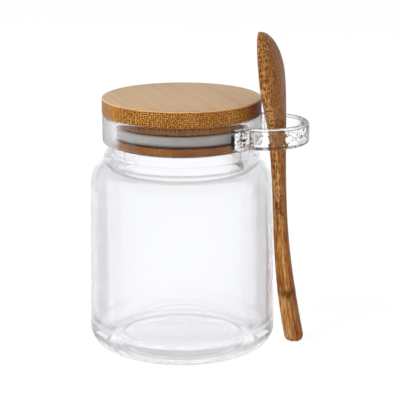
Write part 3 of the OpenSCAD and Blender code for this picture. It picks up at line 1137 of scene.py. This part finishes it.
FLOOR_HALF = 4.0
FLOOR_GREY = (0.9, 0.9, 0.9, 1)
FLOOR_SHADED = (0.2, 0.2, 0.2, 1)
FLOOR_GLOW = 0.86
CEILING_RANGE = (0.3, 0.75)
ROOM_LIGHT = {"Color": (0.96, 0.98, 1, 1), "Strength": 0.5}
ROOM_WHITE = {"Color": (1, 1, 1, 1), "Strength": 1.0}
ROOM_CEILING = {"Color": (0.92, 0.94, 1, 1), "Strength": 0.12}
AIM = (0, 0, 0.07)


def make_floor():
    """White floor that keeps a soft shadow: most of what is seen of it is its own even light."""
    material, tree = new_material("floor")
    seen = seen_node(tree, add(tree, "ShaderNodeLightPath"))
    plain = add(tree, "ShaderNodeBsdfDiffuse", None, {"Color": FLOOR_GREY})
    shaded = add(tree, "ShaderNodeBsdfDiffuse", None, {"Color": FLOOR_SHADED})
    bright = add(tree, "ShaderNodeEmission", None, {"Color": (1, 1, 1, 1), "Strength": FLOOR_GLOW})
    pale = add(tree, "ShaderNodeAddShader", None, {0: shaded.outputs[0], 1: bright.outputs[0]})
    mixed = shader_mix(tree, seen, plain, pale)
    add(tree, "ShaderNodeOutputMaterial", None, {"Surface": mixed.outputs[0]})
    mesh = bpy.data.meshes.new("floor")
    corners = [(x * FLOOR_HALF, y * FLOOR_HALF, 0) for x, y in ((-1, -1), (1, -1), (1, 1), (-1, 1))]
    mesh.from_pydata(corners, [], [[0, 1, 2, 3]])
    floor = bpy.data.objects.new("floor", mesh)
    bpy.context.scene.collection.objects.link(floor)
    mesh.materials.append(material)


def make_world():
    """Soft light all round. It looks white, with a dark ceiling that only glass and gloss show."""
    world = bpy.data.worlds.new("studio")
    bpy.context.scene.world = world
    world.use_nodes = True
    tree = world.node_tree
    tree.nodes.clear()
    path = add(tree, "ShaderNodeLightPath")
    light = add(tree, "ShaderNodeBackground", None, ROOM_LIGHT)
    white = add(tree, "ShaderNodeBackground", None, ROOM_WHITE)
    dark = add(tree, "ShaderNodeBackground", None, ROOM_CEILING)
    height = z_node(tree, add(tree, "ShaderNodeTexCoord").outputs["Generated"])
    not_direct = math_node(tree, "SUBTRACT", 1.0, path.outputs["Is Camera Ray"])
    ceiling = times(tree, ramp_node(tree, height, *CEILING_RANGE), not_direct)
    studio = shader_mix(tree, ceiling, white, dark)
    mixed = shader_mix(tree, seen_node(tree, path), light, studio)
    add(tree, "ShaderNodeOutputWorld", None, {"Surface": mixed.outputs[0]})


def add_lamp(name, place, size, power, colour):
    """Square lamp that lights the pot and is itself not seen."""
    data = bpy.data.lights.new(name, "AREA")
    data.size = size
    data.energy = power
    data.color = colour
    lamp = bpy.data.objects.new(name, data)
    bpy.context.scene.collection.objects.link(lamp)
    lamp.location = place
    lamp.rotation_euler = (Vector(AIM) - Vector(place)).to_track_quat("-Z", "Y").to_euler()
    lamp.visible_camera = False
    lamp.visible_glossy = False
    lamp.visible_transmission = False


make_floor()
make_world()
add_lamp("key", (-0.75, -0.75, 1.15), size=0.8, power=16, colour=(1, 0.985, 0.96))
add_lamp("fill", (0.9, -0.9, 0.7), size=1.0, power=5, colour=(0.97, 0.98, 1))

# Place and angle of the camera in millimetres and degrees, and its focal length in pixels of the picture
VIEW_AZIMUTH = math.radians(9.5)
VIEW_PITCH = math.radians(14.44)
VIEW_SIDE = 8.24
VIEW_BACK = 707.6
VIEW_UP = 249.3
FOCAL_PX = 1598
PICTURE_PX = 400
SENSOR_W = 36
camera_data = bpy.data.cameras.new("camera")
camera_data.sensor_width = SENSOR_W
camera_data.lens = FOCAL_PX / PICTURE_PX * SENSOR_W
camera_data.clip_start = 0.01
camera = bpy.data.objects.new("camera", camera_data)
bpy.context.scene.collection.objects.link(camera)
rightwards = Vector((math.cos(VIEW_AZIMUTH), math.sin(VIEW_AZIMUTH), 0))
ahead = Vector((-math.sin(VIEW_AZIMUTH), math.cos(VIEW_AZIMUTH), 0))
camera.location = (rightwards * VIEW_SIDE - ahead * VIEW_BACK + Vector((0, 0, VIEW_UP))) * MM
camera.rotation_euler = (math.pi / 2 - VIEW_PITCH, 0, VIEW_AZIMUTH)
bpy.context.scene.camera = camera
bpy.context.scene.view_settings.view_transform = "Standard"
